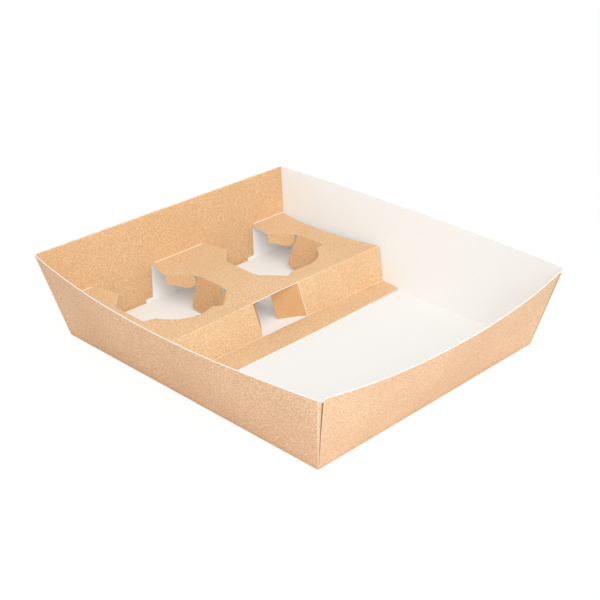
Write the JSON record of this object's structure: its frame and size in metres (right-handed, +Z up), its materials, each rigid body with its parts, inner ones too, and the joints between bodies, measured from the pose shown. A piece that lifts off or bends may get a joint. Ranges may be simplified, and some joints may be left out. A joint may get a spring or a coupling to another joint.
{
  "type": "cardboard cup carrier",
  "caption": "Folded kraft board tray with flared walls, a raised deck with cup openings at one end and an open food bay at the other.",
  "frame": {"origin": "centre of the underside of the bounding box, on the table", "axes": "+Z up, +X from the cup wall towards the open end of the tray, +Y across the tray"},
  "size_m": [0.2902, 0.27, 0.0638],
  "materials": {
    "kraft_board": "matte"
  },
  "bodies": {
    "root": {"cup_tray": "kraft_board"}
  },
  "joints": []
}
